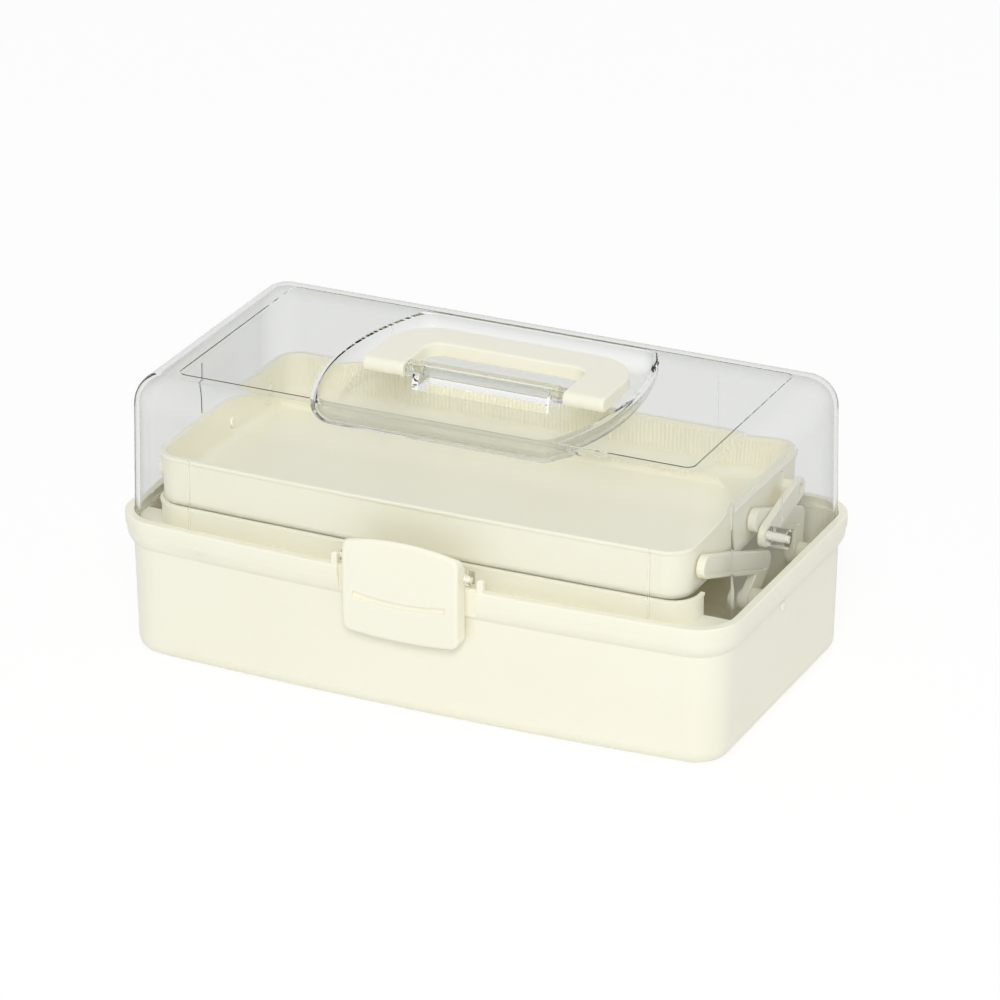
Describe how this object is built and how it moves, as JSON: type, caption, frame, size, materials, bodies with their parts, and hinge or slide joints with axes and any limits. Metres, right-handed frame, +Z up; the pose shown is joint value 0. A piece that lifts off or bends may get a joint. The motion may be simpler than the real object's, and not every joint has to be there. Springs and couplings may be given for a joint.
{
  "type": "art supply box",
  "caption": "Portable art supply box: ivory plastic tub and clear hinged lid with carry handle, front latch and an inner tray that swings up and back on cranked arms as the lid opens.",
  "frame": {"origin": "centre of the bounding box's underside, lid closed, handle down, latch shut", "axes": "+X to the right along the long side, +Y from the latch to the hinge, +Z up"},
  "size_m": [0.33, 0.193, 0.1476],
  "materials": {
    "ivory_plastic": "smooth moulded, satin sheen",
    "clear_plastic": "clear, polished"
  },
  "bodies": {
    "base": {"base_tub": "ivory_plastic", "front_base_pin_left": "ivory_plastic", "front_base_pin_right": "ivory_plastic", "rear_base_pin_left": "ivory_plastic", "rear_base_pin_right": "ivory_plastic", "hinge_pin_left": "ivory_plastic", "hinge_pin_right": "ivory_plastic"},
    "lid": {"lid_shell": "clear_plastic", "latch_pin": "ivory_plastic", "handle_pin_left": "clear_plastic", "handle_pin_right": "clear_plastic", "lid_link_pin_left": "ivory_plastic", "lid_link_pin_right": "ivory_plastic"},
    "tray": {"upper_tray": "ivory_plastic", "front_tray_pin_left": "ivory_plastic", "front_tray_pin_right": "ivory_plastic", "rear_tray_pin_left": "ivory_plastic", "rear_tray_pin_right": "ivory_plastic", "link_tray_pin_left": "ivory_plastic", "link_tray_pin_right": "ivory_plastic"},
    "handle": {"handle": "ivory_plastic"},
    "latch": {"latch": "ivory_plastic"},
    "front_arm_left": {"front_arm_left": "ivory_plastic"},
    "front_arm_right": {"front_arm_right": "ivory_plastic"},
    "rear_arm_left": {"rear_arm_left": "ivory_plastic"},
    "rear_arm_right": {"rear_arm_right": "ivory_plastic"},
    "lid_link_left": {"lid_link_left": "ivory_plastic"},
    "lid_link_right": {"lid_link_right": "ivory_plastic"}
  },
  "joints": [
    {"name": "lid_hinge", "type": "hinge", "parent": "base", "child": "lid", "pos_m": [0, 0.0923, 0.077], "axis": [-1, 0, 0], "range_deg": [0, 100]},
    {"name": "front_arm_left_pivot", "type": "hinge", "parent": "base", "child": "front_arm_left", "pos_m": [-0.148, -0.0012, 0.056], "axis": [-1, 0, 0], "range_deg": [0, 50]},
    {"name": "rear_arm_left_pivot", "type": "hinge", "parent": "base", "child": "rear_arm_left", "pos_m": [-0.148, 0.0588, 0.056], "axis": [-1, 0, 0], "range_deg": [0, 50]},
    {"name": "front_arm_right_pivot", "type": "hinge", "parent": "base", "child": "front_arm_right", "pos_m": [0.141, -0.0012, 0.056], "axis": [-1, 0, 0], "range_deg": [0, 50]},
    {"name": "rear_arm_right_pivot", "type": "hinge", "parent": "base", "child": "rear_arm_right", "pos_m": [0.141, 0.0588, 0.056], "axis": [-1, 0, 0], "range_deg": [0, 50]},
    {"name": "tray_pivot", "type": "hinge", "parent": "front_arm_left", "child": "tray", "pos_m": [-0.148, -0.0522, 0.0943], "axis": [-1, 0, 0], "range_deg": [-50, 0]},
    {"name": "lid_link_left_pivot", "type": "hinge", "parent": "lid", "child": "lid_link_left", "pos_m": [-0.1524, 0.0093, 0.0865], "axis": [-1, 0, 0], "range_deg": [0, 29.6]},
    {"name": "lid_link_right_pivot", "type": "hinge", "parent": "lid", "child": "lid_link_right", "pos_m": [0.1454, 0.0093, 0.0865], "axis": [-1, 0, 0], "range_deg": [0, 29.6]},
    {"name": "handle_hinge", "type": "hinge", "parent": "lid", "child": "handle", "pos_m": [0, 0.0038, 0.1431], "axis": [1, 0, 0], "range_deg": [0, 90]},
    {"name": "latch_hinge", "type": "hinge", "parent": "lid", "child": "latch", "pos_m": [0, -0.08669, 0.0807], "axis": [-1, 0, 0], "range_deg": [0, 32]}
  ],
  "couplings": [
    {"joint": "front_arm_left_pivot", "follows": "lid_hinge", "ratio": 0.5},
    {"joint": "rear_arm_left_pivot", "follows": "lid_hinge", "ratio": 0.5},
    {"joint": "front_arm_right_pivot", "follows": "lid_hinge", "ratio": 0.5},
    {"joint": "rear_arm_right_pivot", "follows": "lid_hinge", "ratio": 0.5},
    {"joint": "tray_pivot", "follows": "lid_hinge", "ratio": -0.5},
    {"joint": "lid_link_left_pivot", "follows": "lid_hinge", "ratio": 0.296},
    {"joint": "lid_link_right_pivot", "follows": "lid_hinge", "ratio": 0.296}
  ]
}
